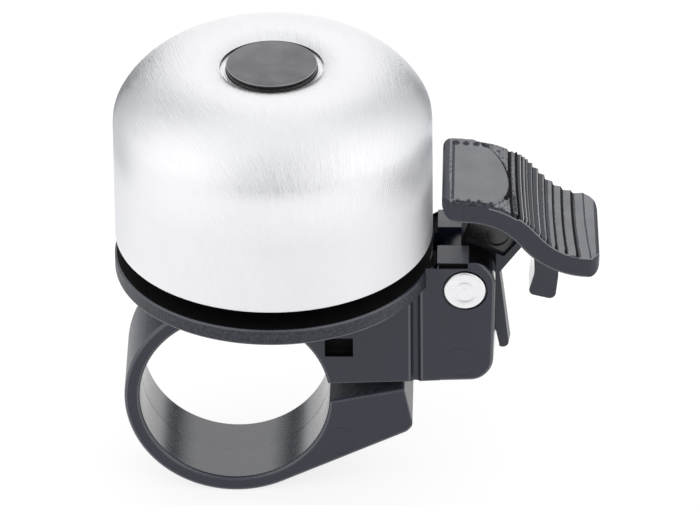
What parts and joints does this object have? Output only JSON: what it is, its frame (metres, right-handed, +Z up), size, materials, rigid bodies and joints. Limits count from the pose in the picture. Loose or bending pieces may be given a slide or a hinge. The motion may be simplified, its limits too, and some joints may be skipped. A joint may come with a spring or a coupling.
{
  "type": "bicycle bell",
  "caption": "Handlebar bicycle bell: a brushed aluminium dome on a black moulded bracket with a split clamp band, rung by a sprung thumb lever on a cross pin.",
  "frame": {"origin": "centre of the handlebar bore, on its axis at mid-width of the bracket", "axes": "+Y along the handlebar, +Z up the bell's axis towards its crown, +X towards the thumb lever"},
  "size_m": [0.0565, 0.0372, 0.0549],
  "materials": {
    "bracket_nylon": "moulded black nylon with a fine matte texture",
    "lever_nylon": "moulded black nylon with a fine matte texture",
    "cap_nylon": "satin dark grey",
    "dome_aluminium": "satin brushed and clear coated",
    "pin_aluminium": "bright",
    "zinc_steel": "zinc plated",
    "bush_rubber": "black"
  },
  "bodies": {
    "base": {"clamp_bracket": "bracket_nylon", "base_plate": "bracket_nylon", "dome": "dome_aluminium", "dome_cap": "cap_nylon", "dome_screw": "zinc_steel", "dome_washer": "zinc_steel", "dome_bush": "bush_rubber", "hinge_pin": "pin_aluminium", "pin_retainer": "zinc_steel", "clamp_washer": "zinc_steel", "clamp_nut": "zinc_steel"},
    "lever": {"thumb_lever": "lever_nylon"},
    "screw": {"clamp_screw": "zinc_steel"}
  },
  "joints": [
    {"name": "lever_pivot", "type": "hinge", "parent": "base", "child": "lever", "pos_m": [0.02699, 0, 0.01479], "axis": [0, 1, 0], "range_deg": [-5, 22], "stiffness_Nm_per_rad": 0.15},
    {"name": "screw_turn", "type": "hinge", "parent": "base", "child": "screw", "pos_m": [0.01593, 0, 0], "axis": [0, 0, 1], "continuous": true}
  ]
}
